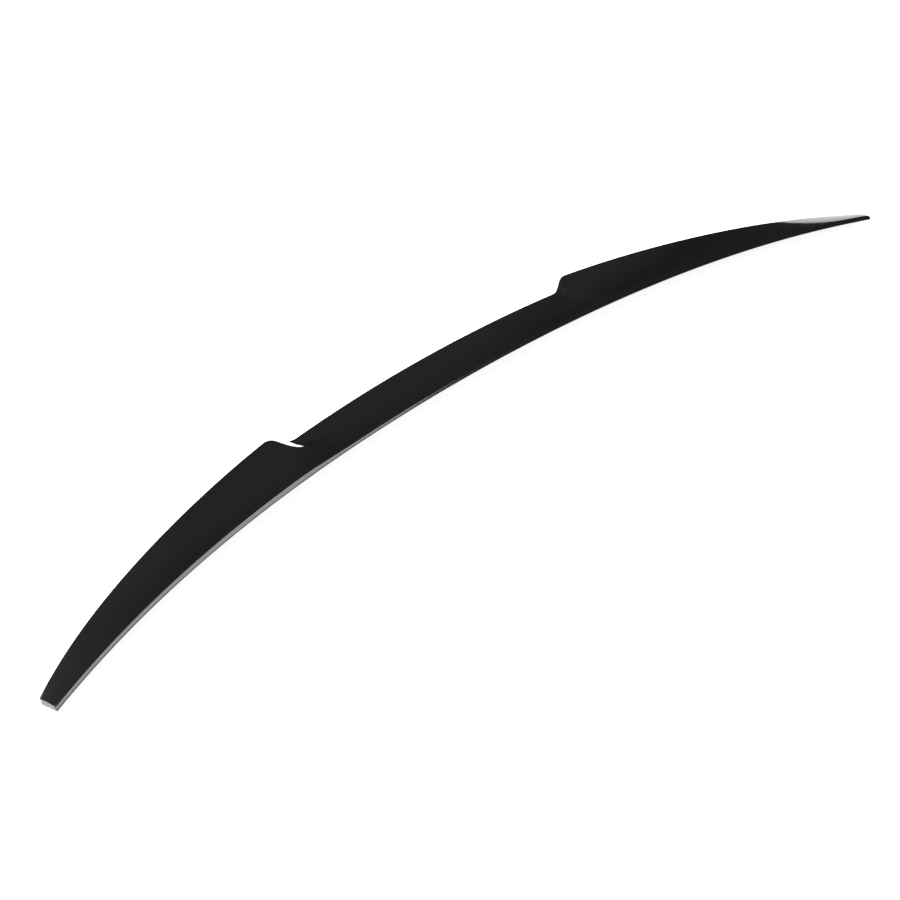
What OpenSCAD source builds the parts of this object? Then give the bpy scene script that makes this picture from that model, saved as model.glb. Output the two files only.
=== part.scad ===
// Boot-lid lip spoiler, moulded in one piece.
// It lies as it rests on a flat surface: +X runs across the car, +Y to the rear, +Z up.
// The origin is under the middle of the part, on the surface that it rests on.

/* [Overall] */
// Length across the car, from cut end to cut end
span = 1250; // [1000:10:1400]
// How far both ends sit ahead of the middle of the leading edge
arc_depth = 103; // [60:1:140]
// How much of that arc is gathered near the ends
arc_end_share = 0.14; // [0:0.01:0.4]
// Height of the lower leading edge at the cut ends
lead_end_z = 13; // [10:0.5:18]
// Rise of the lower leading edge from the ends to the middle
crown = 10.6; // [4:0.1:18]

/* [Centre section] */
// Front to back of the top face in the middle
centre_depth = 62; // [50:1:72]
// Height of the trailing edge in the middle
centre_z = 23; // [18:0.5:27]
// Drop of that trailing edge from the middle to the step
centre_fall = 4; // [0:0.1:5]
// Width of the leading bevel in the middle
centre_bevel = 4; // [3:0.1:6]
// Hollow of the top face between its two edges
centre_dish = 1; // [0:0.1:2]

/* [Wings] */
// Distance from the middle to the inner corner of a wing
step_x = 235; // [190:1:290]
// Length over which the trailing edge steps back
step_run = 33; // [20:1:45]
// Distance inboard of the corner at which it starts to rise
rise_foot = 29; // [20:1:36]
// Length over which it rises
rise_run = 25; // [16:1:30]
// Share of the top face, from the rear, that rises in a clear slope
rise_reach = 0.35; // [0.2:0.05:0.5]
// Length over which the leading bevel grows, further inboard
bevel_run = 90; // [40:5:120]
// Front to back of the top face at the inner corner
wing_depth = 79.5; // [72:0.5:90]
// Front to back of the top face at the cut end
end_depth = 34; // [28:1:42]
// Share of that taper which runs evenly along the wing
even_taper = 0.64; // [0.3:0.02:0.8]
// Power of the rest, which comes near the end
late_taper = 5.2; // [3:0.1:6]
// Height of the trailing edge at the inner corner
wing_z = 24.5; // [22:0.5:30]
// Height of the trailing edge at the cut end
end_z = 4.5; // [4:0.5:7]
// Width of the leading bevel at the inner corner of a wing
wing_bevel = 6; // [4:0.1:8]
// Width of the leading bevel at the cut end
end_bevel = 4.6; // [3:0.1:6]
// Hollow of the top face at the inner corner of a wing
wing_dish = 2; // [0:0.1:3]
// Hollow of the top face at the cut end, where it is a crown below 0
end_dish = -1.2; // [-2:0.1:1]

/* [Edges] */
// Height of the upright foot under the leading bevel
foot_h = 1; // [0.6:0.1:1.6]
// Lean of the bevel, away from upright
bevel_lean = 45; // [30:1:55]
// Reach of the rounding between the bevel and the top face, along each of them
brow_round = 1.2; // [0.6:0.1:2]
// Reach of the rounding of the trailing edge, along each face
tail_round = 1.3; // [0.6:0.1:1.6]
// Hollow of the rear face
rear_dish = 1.5; // [0:0.1:2]

/* [Seat] */
// Front to back of the underside in the middle
seat_depth = 55; // [48:1:58]
// Front to back of the underside at the cut end
seat_end = 29; // [26:1:32]
// Width of the bonding land along the leading edge
front_land = 11; // [9:0.5:13]
// Width of the bonding land along the rear
rear_land = 8; // [7:0.5:9]
// Width of the tape groove in each land
tape_w = 5; // [3:0.5:6]
// Depth of the tape groove
tape_d = 0.6; // [0.3:0.1:0.9]

/* [Shell] */
// Thickness of the top wall
wall = 2.8; // [2:0.1:3.2]
// Solid length at each cut end
end_wall = 6; // [3:1:20]
// Number of cross ribs under each half
ribs = 6; // [3:1:9]
// Thickness of a cross rib
rib_t = 2; // [1.5:0.1:3]
// How far a rib stops short of the seat
rib_gap = 1.5; // [0.5:0.5:3]

/* [Hidden] */
half = span / 2;
// Powers by which a wing's trailing edge comes down: at the inner corner and at the cut end
inner_fall = 1.6;
outer_fall = 1.3;
// Share of bevel_run that lies inboard of the wing's corner
bevel_ahead = 0.85;
// Shares of the top face: how far ahead of its slope the rise starts, and how fast it comes
slope_ahead = 0.15;
slope_span = 0.2;
// Share of rise_run that is left at the front of the slope
least_rise = 0.4;
// Power by which the stations of a wing close up towards its end
closing = 1.3;
// Stations along one half: plain stretches, and close ones through the step
centre_steps = 12;
step_steps = 20;
wing_steps = 26;
// Points across the top face, round an edge and down the rear face
top_steps = 7;
round_steps = 3;
rear_steps = 3;
// Depth by which a rib bites into the wall that carries it
bite = wall / 2;

// Plain helpers
function mix(a, b, w) = a + (b - a) * w;
function ease(x) = let (u = min(1, max(0, x))) u * u * (3 - 2 * u);
function bend(a, corner, b, w) = mix(mix(a, corner, w), mix(corner, b, w), w);

// Lower leading edge at the distance s from the middle
function lead_y(s) = let (t = s / half)
    -arc_depth * ((1 - arc_end_share) * pow(t, 2) + arc_end_share * pow(t, 4));
function lead_z(s) = lead_end_z + crown * (1 - pow(s / half, 4));

// Share of a wing's own length that lies inboard of s
function outward(s) = max(0, (s - step_x) / (half - step_x));

// Section of the centre piece and of a wing: [depth, height] of the trailing edge
function centre_tail(s) = [centre_depth, centre_z - centre_fall * pow(s / step_x, 2)];
function wing_tail(s) = let (t = outward(s)) [
    mix(wing_depth, end_depth, even_taper * t + (1 - even_taper) * pow(t, late_taper)),
    end_z + (wing_z - end_z) * pow(1 - pow(t, inner_fall), outer_fall)
];

// Top face at s, from the leading bevel at v = 0 to the trailing edge at v = 1
function top_line(foot, bevel, tail, dish, v) =
    mix(foot + bevel * [sin(bevel_lean), cos(bevel_lean)], tail, v) - [0, 4 * dish * v * (1 - v)];
function bevel_start() = step_x - bevel_run * bevel_ahead;
function depth_share(s, v) =
    ease((s - mix(bevel_start(), step_x - step_run, v)) / mix(bevel_run, step_run, v));
function height_share(s, v) = let (
        ahead = 1 - rise_reach,
        slope = ease((v - ahead + slope_ahead) / slope_span),
        run = rise_run * mix(least_rise, 1, max(0, v - ahead) / rise_reach))
    ease((s - mix(bevel_start(), step_x - rise_foot, slope)) / mix(bevel_run, run, slope));
function top(s, v) = let (
        foot = [0, lead_z(s) + foot_h],
        centre = top_line(foot, centre_bevel, centre_tail(s), centre_dish, v),
        bevel = mix(wing_bevel, end_bevel, outward(s)),
        dish = mix(wing_dish, end_dish, pow(outward(s), 2)),
        wing = top_line(foot, bevel, wing_tail(s), dish, v))
    [mix(centre[0], wing[0], depth_share(s, v)), mix(centre[1], wing[1], height_share(s, v))];

// Seat: the straight line in each section from the rear corner to the leading edge
function seat_rear(s) = [mix(seat_depth, seat_end, pow(s / half, 3)), 0];
function seat_run(s) = norm([0, lead_z(s)] - seat_rear(s));
function seat_point(s, a, h) = let (e = ([0, lead_z(s)] - seat_rear(s)) / seat_run(s))
    seat_rear(s) + e * a + [e[1], -e[0]] * h;

// Rear face at s, from the trailing edge at q = 0 to the seat at q = 1
function rear(s, q) = let (
        a = top(s, 1),
        b = seat_rear(s),
        in = [b[1] - a[1], a[0] - b[0]] / norm(a - b))
    mix(a, b, q) + 4 * rear_dish * q * (1 - q) * in;

// Outline of the whole section at s, clockwise from the lower leading edge
function section(s) = let (
        foot = [0, lead_z(s) + foot_h],
        brow = top(s, 0),
        tail = top(s, 1),
        v0 = brow_round / tail[0],
        v1 = 1 - tail_round / tail[0],
        q0 = tail_round / norm(tail - seat_rear(s)),
        low = mix(brow, foot, brow_round / norm(brow - foot)))
    [
        [0, lead_z(s)],
        foot,
        for (i = [0:round_steps]) bend(low, brow, top(s, v0), i / round_steps),
        for (i = [1:top_steps - 1]) top(s, mix(v0, v1, i / top_steps)),
        for (i = [0:round_steps]) bend(top(s, v1), tail, rear(s, q0), i / round_steps),
        for (i = [1:rear_steps]) rear(s, mix(q0, 1, i / rear_steps))
    ];

// Outline of the hollow at s, with its mouth at the height h. Its roof moves up by grow, and
// its front and rear walls move out by twice as much.
function hollow(s, grow, h) = let (
        brow = top(s, 0)[0],
        depth = top(s, 1)[0],
        mouth = seat_point(s, seat_run(s) - front_land + 2 * grow, h),
        v0 = (mouth[0] + 2 - brow) / (depth - brow),
        v1 = (depth - rear_land - 1 + 2 * grow - brow) / (depth - brow))
    [
        mouth,
        for (i = [0:top_steps - 2]) top(s, mix(v0, v1, i / (top_steps - 2))) - [0, wall - grow],
        seat_point(s, rear_land - 2 * grow, h)
    ];

// Outline of a tape groove at s, centred at the run a along the seat
function groove(s, a) = [
    seat_point(s, a + tape_w / 2, -1),
    seat_point(s, a + tape_w / 2, tape_d),
    seat_point(s, a - tape_w / 2, tape_d),
    seat_point(s, a - tape_w / 2, -1)
];

// Stations from the middle outward, closest through the step and near the end
step_start = step_x - step_run;
stations = [
    for (i = [0:centre_steps - 1]) step_start * i / centre_steps,
    for (i = [0:step_steps - 1]) step_start + step_run * i / step_steps,
    for (i = [0:wing_steps]) step_x + (half - step_x) * (1 - pow(1 - i / wing_steps, closing))
];
every_other = [for (i = [0:2:len(stations) - 1]) stations[i]];
// A list of stations on both sides of the middle, cut off at a distance from it
function both(list, end) = let (near = [for (s = list) if (s < end - 1) s])
    concat([-end], [for (i = [len(near) - 1:-1:1]) -near[i]], near, [end]);

// Middle of the box front to back, so that the origin lies under it
shift_y = (arc_depth - lead_y(step_x) - wing_depth) / 2;
function place(x, outline) = [for (p = outline) [x, shift_y + lead_y(abs(x)) + p[0], p[1]]];

// Solid through a row of outlines with the same number of points. The two triangles between
// four points are split the other way on the left, so that both halves are the same.
module loft(rings) {
    n = len(rings[0]);
    last = (len(rings) - 1) * n;
    sides = [
        for (i = [0:len(rings) - 2], j = [0:n - 1])
            let (a = i * n + j, d = i * n + (j + 1) % n, b = a + n, c = d + n)
                each rings[i][0][0] < 0 ? [[a, d, b], [d, c, b]] : [[a, c, b], [a, d, c]]
    ];
    polyhedron(
        points = [for (r = rings) each r],
        faces = concat([[for (j = [n - 1:-1:0]) j]], [[for (j = [0:n - 1]) last + j]], sides),
        convexity = 8
    );
}

// Outer form, with its arched trailing edge and two steps
module skin() {
    loft([for (x = both(stations, half)) place(x, section(abs(x)))]);
}

// Space under the top wall, open towards the seat
module cavity() {
    loft([for (x = both(every_other, half - end_wall)) place(x, hollow(abs(x), 0, -1))]);
}

// Grooves for the bonding tape, one in each land
module grooves() {
    for (front = [true, false])
        loft([
            for (x = both(every_other, half - end_wall))
                let (s = abs(x), a = front ? seat_run(s) - front_land / 2 : rear_land / 2)
                    place(x, groove(s, a))
        ]);
}

// Cross ribs, evenly spaced over both halves
module cross_ribs() {
    pitch = (half - end_wall) / (ribs + 0.5);
    for (side = [-1, 1], i = [0:ribs - 1])
        let (x = side * pitch * (i + 0.5))
            loft([
                for (e = [-rib_t / 2, rib_t / 2])
                    place(x + e, hollow(abs(x + e), bite, rib_gap))
            ]);
}

module spoiler() {
    color([0.03, 0.03, 0.032]) {
        difference() {
            skin();
            cavity();
            grooves();
        }
        cross_ribs();
    }
}

spoiler();
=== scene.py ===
import math

import bmesh
import bpy
from mathutils import Matrix, Vector


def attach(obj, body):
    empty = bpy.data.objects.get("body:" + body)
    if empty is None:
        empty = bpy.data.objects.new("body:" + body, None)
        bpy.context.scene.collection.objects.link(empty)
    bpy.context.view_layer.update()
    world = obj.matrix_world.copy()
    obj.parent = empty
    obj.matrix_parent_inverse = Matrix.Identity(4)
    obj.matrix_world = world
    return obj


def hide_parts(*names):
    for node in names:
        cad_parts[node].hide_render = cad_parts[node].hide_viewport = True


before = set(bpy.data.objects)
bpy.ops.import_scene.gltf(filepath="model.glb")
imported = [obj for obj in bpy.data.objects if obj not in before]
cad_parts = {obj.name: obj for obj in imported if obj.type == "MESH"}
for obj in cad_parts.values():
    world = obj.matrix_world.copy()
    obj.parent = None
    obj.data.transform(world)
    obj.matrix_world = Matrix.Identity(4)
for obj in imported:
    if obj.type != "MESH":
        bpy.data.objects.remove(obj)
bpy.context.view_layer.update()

MM = 0.001

# The part's own values, under the names that its source gives them: sizes in millimetres, a
# lean in degrees, and plain numbers for shares, powers and the count of ribs under one half
SIZES = {
    "span": 1250,
    "arc_depth": 103,
    "arc_end_share": 0.14,
    "lead_end_z": 13,
    "crown": 10.6,
    "centre_depth": 62,
    "centre_z": 23,
    "centre_fall": 4,
    "centre_bevel": 4,
    "centre_dish": 1,
    "step_x": 235,
    "step_run": 33,
    "rise_foot": 29,
    "rise_run": 25,
    "rise_reach": 0.35,
    "bevel_run": 90,
    "wing_depth": 79.5,
    "end_depth": 34,
    "even_taper": 0.64,
    "late_taper": 5.2,
    "wing_z": 24.5,
    "end_z": 4.5,
    "wing_bevel": 6,
    "end_bevel": 4.6,
    "wing_dish": 2,
    "end_dish": -1.2,
    "foot_h": 1,
    "bevel_lean": 45,
    "brow_round": 1.2,
    "tail_round": 1.3,
    "rear_dish": 1.5,
    "seat_depth": 55,
    "seat_end": 29,
    "front_land": 11,
    "rear_land": 8,
    "tape_w": 5,
    "tape_d": 0.6,
    "wall": 2.8,
    "end_wall": 6,
    "ribs": 6,
    "rib_t": 2,
    "rib_gap": 1.5,
    "inner_fall": 1.6,
    "outer_fall": 1.3,
    "bevel_ahead": 0.85,
    "slope_ahead": 0.15,
    "slope_span": 0.2,
    "least_rise": 0.4,
}
# What this script adds to them, in millimetres where nothing else is said.
# Small softening of the edges round a cut end and at the top of the upright foot
END_CHAMFER = 0.4
CORNER_ROUND = 0.25
# How far the roof of the hollow is drawn in at its front edge and at its rear one
ROOF_INSET = (2, 1)
# Length over which the hollow shuts at its end wall
SHUT_RUN = 0.02
# Steps from point to point: round the brow and the trailing edge, round the top of the foot,
# across the top face, down the rear face and across the hollow's roof
BEND_STEPS = 6
CORNER_STEPS = 3
DECK_STEPS = 18
REAR_STEPS = 4
ROOF_STEPS = 8
# Where the rows of points lie on the leading bevel, as shares of it from the foot up
BEVEL_ROWS = (0.15, 0.6)
# Pitch of the outlines along the part, plain and through a step
SKIN_PITCH = (2.0, 1.0)
BLOCK_PITCH = (8.0, 4.0)
# How far the closer pitch reaches past a step on both sides
STEP_MARGIN = 8
# How far the space for the ribs stops short of the end walls
BLOCK_GAP = 1
# Depth and height of a rib's plate before it is cut to the hollow, in metres
PLATE = (0.6, 0.2)
# Faces that meet at more than this angle have a sharp edge
SHARP = math.radians(32)


# The part's own rules, as its source has them
def mix(a, b, w):
    return a + (b - a) * w


def mix2(p, q, w):
    return (mix(p[0], q[0], w), mix(p[1], q[1], w))


def bend(a, corner, b, w):
    return mix2(mix2(a, corner, w), mix2(corner, b, w), w)


def ease(a):
    u = min(1.0, max(0.0, a))
    return u * u * (3 - 2 * u)


class Form:
    """Where the part's faces lie at the distance s from its middle, in millimetres."""

    def __init__(self, s):
        vars(self).update(SIZES)
        self.s, self.half = s, self.span / 2
        t = s / self.half
        bow = (1 - self.arc_end_share) * t**2 + self.arc_end_share * t**4
        self.lead_y = -self.arc_depth * bow
        self.lead_z = self.lead_end_z + self.crown * (1 - t**4)
        centre_z = self.centre_z - self.centre_fall * (s / self.step_x) ** 2
        self.centre_tail = (self.centre_depth, centre_z)
        out = max(0.0, (s - self.step_x) / (self.half - self.step_x))
        taper = self.even_taper * out + (1 - self.even_taper) * out**self.late_taper
        fall = max(0.0, 1 - out**self.inner_fall) ** self.outer_fall
        self.outward = out
        self.wing_tail = (
            mix(self.wing_depth, self.end_depth, taper),
            mix(self.end_z, self.wing_z, fall),
        )
        self.foot = (0.0, self.lead_z)
        self.seat_rear = (mix(self.seat_depth, self.seat_end, t**3), 0.0)
        self.seat_run = math.dist(self.foot, self.seat_rear)
        self.along = (-self.seat_rear[0] / self.seat_run, self.lead_z / self.seat_run)
        self.hollow = s < self.half - self.end_wall
        self.bevel_start = self.step_x - self.bevel_run * self.bevel_ahead

    def top_line(self, bevel, tail, dish, v):
        """A line from the top of the bevel to the trailing edge that sags by dish."""
        lean = math.radians(self.bevel_lean)
        brow = (bevel * math.sin(lean), self.lead_z + self.foot_h + bevel * math.cos(lean))
        y, z = mix2(brow, tail, v)
        return y, z - 4 * dish * v * (1 - v)

    def top(self, v):
        """Top face, from the leading bevel at v = 0 to the trailing edge at v = 1."""
        centre = self.top_line(self.centre_bevel, self.centre_tail, self.centre_dish, v)
        out = self.outward
        bevel = mix(self.wing_bevel, self.end_bevel, out)
        dish = mix(self.wing_dish, self.end_dish, out**2)
        wing = self.top_line(bevel, self.wing_tail, dish, v)
        y = mix(centre[0], wing[0], self.depth_share(v))
        z = mix(centre[1], wing[1], self.height_share(v))
        return y, z

    def depth_share(self, v):
        """How far the depth has gone over from the centre section to the wing."""
        start = mix(self.bevel_start, self.step_x - self.step_run, v)
        return ease((self.s - start) / mix(self.bevel_run, self.step_run, v))

    def height_share(self, v):
        """The same for the height, which changes in a short slope along the rear."""
        ahead = 1 - self.rise_reach
        slope = ease((v - ahead + self.slope_ahead) / self.slope_span)
        run = self.rise_run * mix(self.least_rise, 1, max(0, v - ahead) / self.rise_reach)
        start = mix(self.bevel_start, self.step_x - self.rise_foot, slope)
        return ease((self.s - start) / mix(self.bevel_run, run, slope))

    def seat(self, a, h):
        """Point at the run a along the seat from its rear corner, and h above it."""
        h = h if self.hollow else 0.0
        return (
            self.seat_rear[0] + self.along[0] * a + self.along[1] * h,
            self.along[1] * a - self.along[0] * h,
        )

    def rear(self, q):
        """Rear face, from the trailing edge at q = 0 to the seat at q = 1."""
        a, b = self.top(1), self.seat_rear
        bulge = 4 * self.rear_dish * q * (1 - q) / math.dist(a, b)
        y, z = mix2(a, b, q)
        return y + (b[1] - a[1]) * bulge, z + (a[0] - b[0]) * bulge

    def roof(self, grow, w):
        """Roof of the hollow from its rear corner to its front one, moved out by grow."""
        front = self.seat_run - self.front_land
        if not self.hollow:
            return self.seat(mix(self.rear_land, front, w), 0)
        brow, depth = self.top(0)[0], self.top(1)[0]
        mouth = self.seat(front + 2 * grow, 0)[0]
        v0 = (mouth + ROOF_INSET[0] - brow) / (depth - brow)
        v1 = (depth - self.rear_land - ROOF_INSET[1] + 2 * grow - brow) / (depth - brow)
        y, z = self.top(mix(v1, v0, w))
        return y, z - self.wall + grow

    def skin(self):
        """Outer outline, clockwise from the foot of the leading edge to the seat's rear corner."""
        brow, tail = self.top(0), self.top(1)
        upright = (0.0, self.lead_z + self.foot_h)
        low = mix2(brow, upright, self.brow_round / math.dist(brow, upright))
        v0, v1 = self.brow_round / tail[0], 1 - self.tail_round / tail[0]
        q0 = self.tail_round / math.dist(tail, self.seat_rear)
        below = mix2(upright, self.foot, CORNER_ROUND / self.foot_h)
        above = mix2(upright, brow, CORNER_ROUND / math.dist(brow, upright))
        return (
            [self.foot]
            + [bend(below, upright, above, i / CORNER_STEPS) for i in range(CORNER_STEPS + 1)]
            + [mix2(above, low, w) for w in BEVEL_ROWS]
            + [bend(low, brow, self.top(v0), i / BEND_STEPS) for i in range(BEND_STEPS + 1)]
            + [self.top(mix(v0, v1, i / DECK_STEPS)) for i in range(1, DECK_STEPS)]
            + [bend(self.top(v1), tail, self.rear(q0), i / BEND_STEPS) for i in range(BEND_STEPS + 1)]
            + [self.rear(mix(q0, 1, i / REAR_STEPS)) for i in range(1, REAR_STEPS)]
        )

    def groove(self, middle):
        """Tape groove, centred at the run middle along the seat."""
        near, far = middle - self.tape_w / 2, middle + self.tape_w / 2
        return [
            self.seat(near, 0),
            self.seat(near, self.tape_d),
            self.seat(far, self.tape_d),
            self.seat(far, 0),
        ]

    def underside(self):
        """Seat outline, from its rear corner round the hollow to the leading edge."""
        return (
            [self.seat(0, 0)]
            + self.groove(self.rear_land / 2)
            + [self.seat(self.rear_land, 0)]
            + [self.roof(0, i / ROOF_STEPS) for i in range(ROOF_STEPS + 1)]
            + [self.seat(self.seat_run - self.front_land, 0)]
            + self.groove(self.seat_run - self.front_land / 2)
        )


# Middle of the part's box front to back, so that the origin lies under it
SHIFT_Y = (SIZES["arc_depth"] - Form(SIZES["step_x"]).lead_y - SIZES["wing_depth"]) / 2


def placed(x, outline):
    """An outline set at x across the car, in metres."""
    back = SHIFT_Y + Form(abs(x)).lead_y
    return [(x * MM, (back + y) * MM, z * MM) for y, z in outline]


def stations(limit, pitch):
    """Distances from the middle: a plain pitch, and a closer one through the step."""
    plain, close = pitch
    found, s = [], 0.0
    near = SIZES["step_x"] - SIZES["step_run"] - STEP_MARGIN
    far = SIZES["step_x"] + STEP_MARGIN
    while s < limit - plain / 2:
        found.append(s)
        s += close if near < s < far else plain
    return found


def both_sides(side):
    """Distances from the middle, first those to the left and then those to the right."""
    return [-s for s in side[:0:-1]] + side


def shell_mesh(name, rings):
    """A closed mesh through rings of points. The flat faces at its ends come last."""
    mesh = bpy.data.meshes.new(name)
    n = len(rings[0])
    faces = [
        (i * n + j, i * n + (j + 1) % n, (i + 1) * n + (j + 1) % n, (i + 1) * n + j)
        for i in range(len(rings) - 1)
        for j in range(n)
    ]
    last = (len(rings) - 1) * n
    faces += [tuple(range(n))[::-1], tuple(range(last, last + n))]
    mesh.from_pydata([p for ring in rings for p in ring], [], faces)
    return mesh


def drawn_in(outline, amount):
    """An outline whose points all move towards its middle."""
    middle = [sum(p[k] for p in outline) / len(outline) for k in (0, 1)]
    return [mix2(p, middle, amount / math.dist(p, middle)) for p in outline]


def spoiler_mesh():
    """The moulding without its ribs. The seat and the hollow have the second finish."""
    half, wall = SIZES["span"] / 2, SIZES["end_wall"]
    side = stations(half - wall, SKIN_PITCH)
    side += [half - wall - SHUT_RUN, half - wall, half - wall / 2, half - END_CHAMFER]
    rings = []
    for x in both_sides(side):
        form = Form(abs(x))
        rings.append(placed(x, form.skin() + form.underside()))
    end = Form(half)
    inner = drawn_in(end.skin() + end.underside(), END_CHAMFER)
    mesh = shell_mesh("lip_spoiler", [placed(-half, inner)] + rings + [placed(half, inner)])
    outer = len(end.skin()) - 1
    for face in mesh.polygons[:-2]:
        face.material_index = int(face.index % len(inner) >= outer)
    return mesh


def hollow_block():
    """The space in which the ribs stand, let a little way into the walls round it."""
    bite = SIZES["wall"] / 2
    limit = SIZES["span"] / 2 - SIZES["end_wall"] - BLOCK_GAP
    rings = []
    for x in both_sides(stations(limit, BLOCK_PITCH)):
        form = Form(abs(x))
        low = form.seat(form.seat_run - SIZES["front_land"] + 2 * bite, SIZES["rib_gap"])
        high = form.seat(SIZES["rear_land"] - 2 * bite, SIZES["rib_gap"])
        roof = [form.roof(bite, i / ROOF_STEPS) for i in range(ROOF_STEPS + 1)]
        rings.append(placed(x, [high] + roof + [low]))
    return shell_mesh("hollow_block", rings)


# Arithmetic in a node tree
class Worked:
    """A number that a tree works out at each point, written as plain arithmetic."""

    def __init__(self, tree, socket):
        self.tree, self.socket = tree, socket

    def by(self, operation, *others):
        node = grown(self.tree, "ShaderNodeMath", self, *others, operation=operation)
        return Worked(self.tree, node.outputs[0])

    def __add__(self, other):
        return self.by("ADD", other)

    def __sub__(self, other):
        return self.by("SUBTRACT", other)

    def __mul__(self, other):
        return self.by("MULTIPLY", other)

    __radd__ = __add__


def feed(tree, sockets, *values):
    """Links or sets a node's inputs, in order."""
    for socket, value in zip(sockets, values):
        if isinstance(value, Worked):
            tree.links.new(value.socket, socket)
        elif isinstance(value, bpy.types.NodeSocket):
            tree.links.new(value, socket)
        else:
            socket.default_value = value


def grown(tree, kind, *values, **settings):
    """A new node with its settings and inputs."""
    node = tree.nodes.new(kind)
    for name, value in settings.items():
        setattr(node, name, value)
    feed(tree, node.inputs, *values)
    return node


# Ribs, set out by a tree
def rib_tree(finish):
    """Plates at an even pitch along the part, cut to the hollow that comes in."""
    tree = bpy.data.node_groups.new("cross ribs", "GeometryNodeTree")
    face = tree.interface
    face.new_socket("hollow", in_out="INPUT", socket_type="NodeSocketGeometry")
    for name, kind in (("count", "Int"), ("pitch", "Float"), ("thickness", "Float")):
        face.new_socket(name, in_out="INPUT", socket_type="NodeSocket" + kind)
    face.new_socket("ribs", in_out="OUTPUT", socket_type="NodeSocketGeometry")
    start = tree.nodes.new("NodeGroupInput")
    count, pitch = (Worked(tree, start.outputs[k]) for k in ("count", "pitch"))
    first = grown(tree, "ShaderNodeCombineXYZ", (count - 1) * pitch * -0.5)
    pace = grown(tree, "ShaderNodeCombineXYZ", pitch)
    line = grown(tree, "GeometryNodeMeshLine")
    tree.links.new(start.outputs["count"], line.inputs["Count"])
    tree.links.new(first.outputs[0], line.inputs["Start Location"])
    tree.links.new(pace.outputs[0], line.inputs["Offset"])
    size = grown(tree, "ShaderNodeCombineXYZ", start.outputs["thickness"], *PLATE)
    plate = grown(tree, "GeometryNodeMeshCube", size.outputs[0])
    rows = grown(tree, "GeometryNodeInstanceOnPoints", line.outputs[0])
    tree.links.new(plate.outputs[0], rows.inputs["Instance"])
    solid = grown(tree, "GeometryNodeRealizeInstances", rows.outputs[0])
    cut = grown(tree, "GeometryNodeMeshBoolean", operation="INTERSECT")
    tree.links.new(start.outputs["hollow"], cut.inputs["Mesh 2"])
    tree.links.new(solid.outputs[0], cut.inputs["Mesh 2"])
    painted = grown(tree, "GeometryNodeSetMaterial", cut.outputs[0])
    painted.inputs["Material"].default_value = finish
    end = tree.nodes.new("NodeGroupOutput")
    tree.links.new(painted.outputs[0], end.inputs[0])
    return tree


def plain_mesh(name, start, tree, values):
    """Runs a tree once on a mesh and gives its result as an ordinary mesh."""
    maker = bpy.data.objects.new(name + "_maker", start)
    bpy.context.scene.collection.objects.link(maker)
    modifier = maker.modifiers.new("maker", "NODES")
    modifier.node_group = tree
    ids = {i.name: i.identifier for i in tree.interface.items_tree if i.in_out == "INPUT"}
    for key, value in values.items():
        modifier[ids[key]] = value
    bpy.context.view_layer.update()
    graph = bpy.context.evaluated_depsgraph_get()
    mesh = bpy.data.meshes.new_from_object(maker.evaluated_get(graph))
    bpy.data.objects.remove(maker)
    mesh.name = name
    return mesh


# Finishes
def material(name):
    """A new finish with one shader."""
    finish = bpy.data.materials.new(name)
    finish.use_nodes = True
    tree = finish.node_tree
    tree.nodes.clear()
    shader = tree.nodes.new("ShaderNodeBsdfPrincipled")
    out = tree.nodes.new("ShaderNodeOutputMaterial")
    tree.links.new(shader.outputs[0], out.inputs[0])
    return finish, tree, shader


def handling_marks():
    """Settled dust and faint wipe marks, for any finish."""
    tree = bpy.data.node_groups.new("handling marks", "ShaderNodeTree")
    for name, kind in (
        ("Vector", "NodeSocketVector"),
        ("Dust amount", "NodeSocketFloat"),
        ("Wipe amount", "NodeSocketFloat"),
    ):
        tree.interface.new_socket(name, in_out="INPUT", socket_type=kind)
    for name in ("Dust", "Wipe"):
        tree.interface.new_socket(name, in_out="OUTPUT", socket_type="NodeSocketFloat")
    start = tree.nodes.new("NodeGroupInput")
    end = tree.nodes.new("NodeGroupOutput")
    specks = grown(tree, "ShaderNodeTexVoronoi", start.outputs[0], feature="F1")
    specks.inputs["Scale"].default_value = 42
    where = grown(tree, "ShaderNodeMapRange", specks.outputs["Distance"], 0.012, 0.02, 1.0, 0.0)
    wide = grown(tree, "ShaderNodeTexNoise", start.outputs[0])
    wide.inputs["Scale"].default_value = 9
    patches = grown(tree, "ShaderNodeMapRange", wide.outputs[0], 0.52, 0.72, 0.0, 1.0)
    dust = Worked(tree, where.outputs[0]) * Worked(tree, patches.outputs[0])
    dust = dust * Worked(tree, start.outputs["Dust amount"])
    stretched = grown(tree, "ShaderNodeMapping", start.outputs[0])
    stretched.inputs["Scale"].default_value = (3, 60, 60)
    strokes = grown(tree, "ShaderNodeTexNoise", stretched.outputs[0])
    strokes.inputs["Scale"].default_value = 2
    strokes.inputs["Detail"].default_value = 6
    wiped = grown(tree, "ShaderNodeMapRange", strokes.outputs[0], 0.4, 0.75, 0.0, 1.0)
    wipe = Worked(tree, wiped.outputs[0]) * Worked(tree, start.outputs["Wipe amount"])
    feed(tree, end.inputs, dust, wipe)
    return tree


def marked(tree, marks, dust_amount):
    """Where a finish is looked up, and the dust and wipe marks on it."""
    place = grown(tree, "ShaderNodeTexCoord").outputs["Object"]
    used = grown(tree, "ShaderNodeGroup", node_tree=marks)
    feed(tree, used.inputs, place, dust_amount, 1.0)
    dust, wipe = (Worked(tree, socket) for socket in used.outputs)
    return place, dust, wipe


def tinted(tree, shader, share, clean, dusty):
    """The colour of a finish, turned by a share towards that of dust."""
    tint = grown(tree, "ShaderNodeMix", data_type="RGBA")
    feed(tree, (tint.inputs[0], tint.inputs[6], tint.inputs[7]), share, clean, dusty)
    tree.links.new(tint.outputs[2], shader.inputs["Base Color"])


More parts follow.
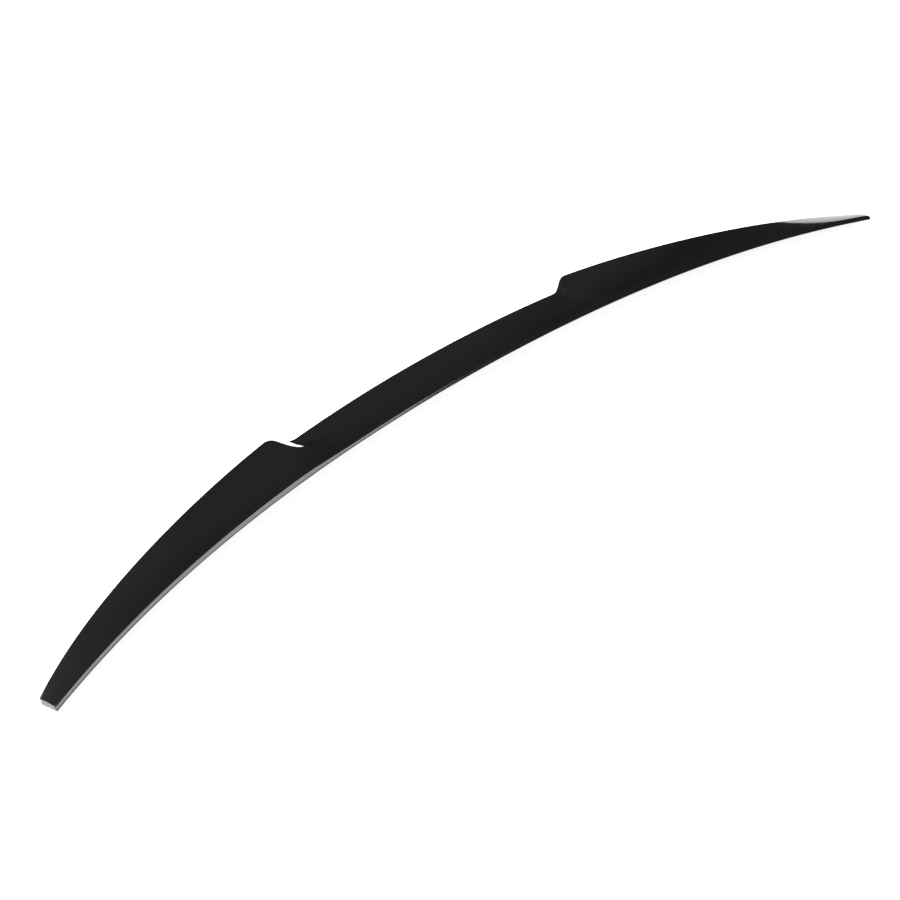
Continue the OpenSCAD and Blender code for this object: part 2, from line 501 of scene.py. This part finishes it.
def uneven(tree, shader, place, scale, detail, strength, depth):
    """Fine unevenness of a surface."""
    noise = grown(tree, "ShaderNodeTexNoise", place)
    noise.inputs["Scale"].default_value = scale
    noise.inputs["Detail"].default_value = detail
    bump = grown(tree, "ShaderNodeBump")
    bump.inputs["Strength"].default_value = strength
    bump.inputs["Distance"].default_value = depth
    tree.links.new(noise.outputs[0], bump.inputs["Height"])
    tree.links.new(bump.outputs[0], shader.inputs["Normal"])


def gloss_black_coat(marks):
    """The outer faces: polished, with very slight waviness."""
    finish, tree, shader = material("gloss black coat")
    place, dust, wipe = marked(tree, marks, 1.0)
    tinted(tree, shader, dust * 0.5, (0.006, 0.006, 0.0062, 1), (0.16, 0.16, 0.155, 1))
    feed(tree, [shader.inputs["Roughness"]], 0.05 + wipe * 0.04 + dust * 0.3)
    uneven(tree, shader, place, scale=190, detail=2, strength=0.03, depth=0.0004)
    shader.inputs["IOR"].default_value = 1.58
    return finish


def moulded_black(marks):
    """The lands, the hollow and the ribs: matt, with a fine grain."""
    finish, tree, shader = material("moulded black underside")
    place, dust, wipe = marked(tree, marks, 0.6)
    share = dust * 0.4 + wipe * 0.06
    tinted(tree, shader, share, (0.014, 0.014, 0.015, 1), (0.12, 0.12, 0.118, 1))
    feed(tree, [shader.inputs["Roughness"]], 0.42 + wipe * 0.14 + dust * 0.2)
    uneven(tree, shader, place, scale=900, detail=3, strength=0.25, depth=0.0003)
    return finish


# The piece
def lip_spoiler(coat, raw):
    """The moulding and its ribs as one piece."""
    mesh = spoiler_mesh()
    mesh.materials.append(coat)
    mesh.materials.append(raw)
    values = {
        "count": SIZES["ribs"] * 2,
        "pitch": (SIZES["span"] / 2 - SIZES["end_wall"]) / (SIZES["ribs"] + 0.5) * MM,
        "thickness": SIZES["rib_t"] * MM,
    }
    ribs = plain_mesh("cross_ribs", hollow_block(), rib_tree(raw), values)
    for face in ribs.polygons:
        face.material_index = 1
    shell = bmesh.new()
    shell.from_mesh(mesh)
    bmesh.ops.recalc_face_normals(shell, faces=shell.faces)
    shell.from_mesh(ribs)
    shell.to_mesh(mesh)
    shell.free()
    mesh.shade_smooth()
    mesh.set_sharp_from_angle(angle=SHARP)
    piece = bpy.data.objects.new("lip_spoiler", mesh)
    bpy.context.scene.collection.objects.link(piece)
    return piece


marks = handling_marks()
spoiler = lip_spoiler(gloss_black_coat(marks), moulded_black(marks))
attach(spoiler, "root")
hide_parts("spoiler")


# Floor, lamps and camera
def floor():
    """A pale floor that glows where it is seen or mirrored, and that takes a shadow."""
    mesh = bpy.data.meshes.new("floor")
    reach = 30.0
    corners = [(x * reach, y * reach, 0) for x, y in ((-1, -1), (1, -1), (1, 1), (-1, 1))]
    mesh.from_pydata(corners, [], [(0, 1, 2, 3)])
    ground = bpy.data.objects.new("floor", mesh)
    bpy.context.scene.collection.objects.link(ground)
    finish, tree, shader = material("pale floor")
    shader.inputs["Base Color"].default_value = (0.86, 0.86, 0.86, 1)
    shader.inputs["Roughness"].default_value = 0.9
    shader.inputs["Specular IOR Level"].default_value = 0.1
    shader.inputs["Emission Color"].default_value = (1, 1, 1, 1)
    path = grown(tree, "ShaderNodeLightPath")
    rays = ("Is Camera Ray", "Is Glossy Ray", "Is Transmission Ray")
    camera_ray, glossy_ray, clear_ray = (Worked(tree, path.outputs[name]) for name in rays)
    seen = (camera_ray + glossy_ray + clear_ray).by("MINIMUM", 1.0)
    feed(tree, [shader.inputs["Emission Strength"]], seen * 0.9)
    mesh.materials.append(finish)


def lamp(name, place, size, radiance):
    """A soft box that faces the part. Its strength is given as the brightness of its face."""
    light = bpy.data.lights.new(name, "AREA")
    light.shape = "RECTANGLE"
    light.size, light.size_y = size
    light.energy = radiance * math.pi * size[0] * size[1]
    thing = bpy.data.objects.new(name, light)
    thing.location = place
    thing.rotation_euler = Vector(place).to_track_quat("Z", "Y").to_euler()
    thing.visible_camera = False
    bpy.context.scene.collection.objects.link(thing)


def studio():
    """A dim room, lighter above and to the left, with three lamps in it."""
    world = bpy.data.worlds.new("dim studio")
    world.use_nodes = True
    tree = world.node_tree
    place = grown(tree, "ShaderNodeTexCoord")
    toward = grown(tree, "ShaderNodeSeparateXYZ", place.outputs["Object"])
    # Brightness by direction: upward, and towards the left
    ceiling = grown(tree, "ShaderNodeMapRange", toward.outputs["Z"], 0.38, 0.55, 0.04, 0.135)
    left_wall = grown(tree, "ShaderNodeMapRange", toward.outputs["X"], 0.11, 0.33, 0.14, 0.0)
    light = Worked(tree, ceiling.outputs[0]) + Worked(tree, left_wall.outputs[0])
    feed(tree, tree.nodes["Background"].inputs, (1, 1, 1, 1), light)
    bpy.context.scene.world = world
    lamp("overhead", place=(-1.2, 0.4, 2.6), size=(3.0, 3.0), radiance=4.2)
    lamp("leading edge", place=(6.10, -5.86, 5.34), size=(1.15, 1.6), radiance=5.0)
    lamp("far right", place=(1.234, 1.629, 0.28), size=(0.5, 0.52), radiance=9.0)


def camera():
    """An 80 mm lens. The origin lies a little off the middle of its picture."""
    azimuth, elevation = math.radians(42.86), math.radians(40.0)
    distance, across, up = 2.2973, -0.0243, -0.0527
    toward = Vector((-math.sin(azimuth), -math.cos(azimuth), math.tan(elevation))).normalized()
    right = Vector((math.cos(azimuth), -math.sin(azimuth), 0))
    above = toward.cross(right)
    lens = bpy.data.cameras.new("camera")
    lens.sensor_width = 36
    lens.lens = 80
    lens.clip_start, lens.clip_end = 0.05, 60
    eye = bpy.data.objects.new("camera", lens)
    turn = Matrix((right, above, toward)).transposed().to_4x4()
    eye.matrix_world = Matrix.Translation(toward * distance + right * across + above * up) @ turn
    bpy.context.scene.collection.objects.link(eye)
    bpy.context.scene.camera = eye


floor()
studio()
camera()
bpy.context.scene.view_settings.view_transform = "Standard"
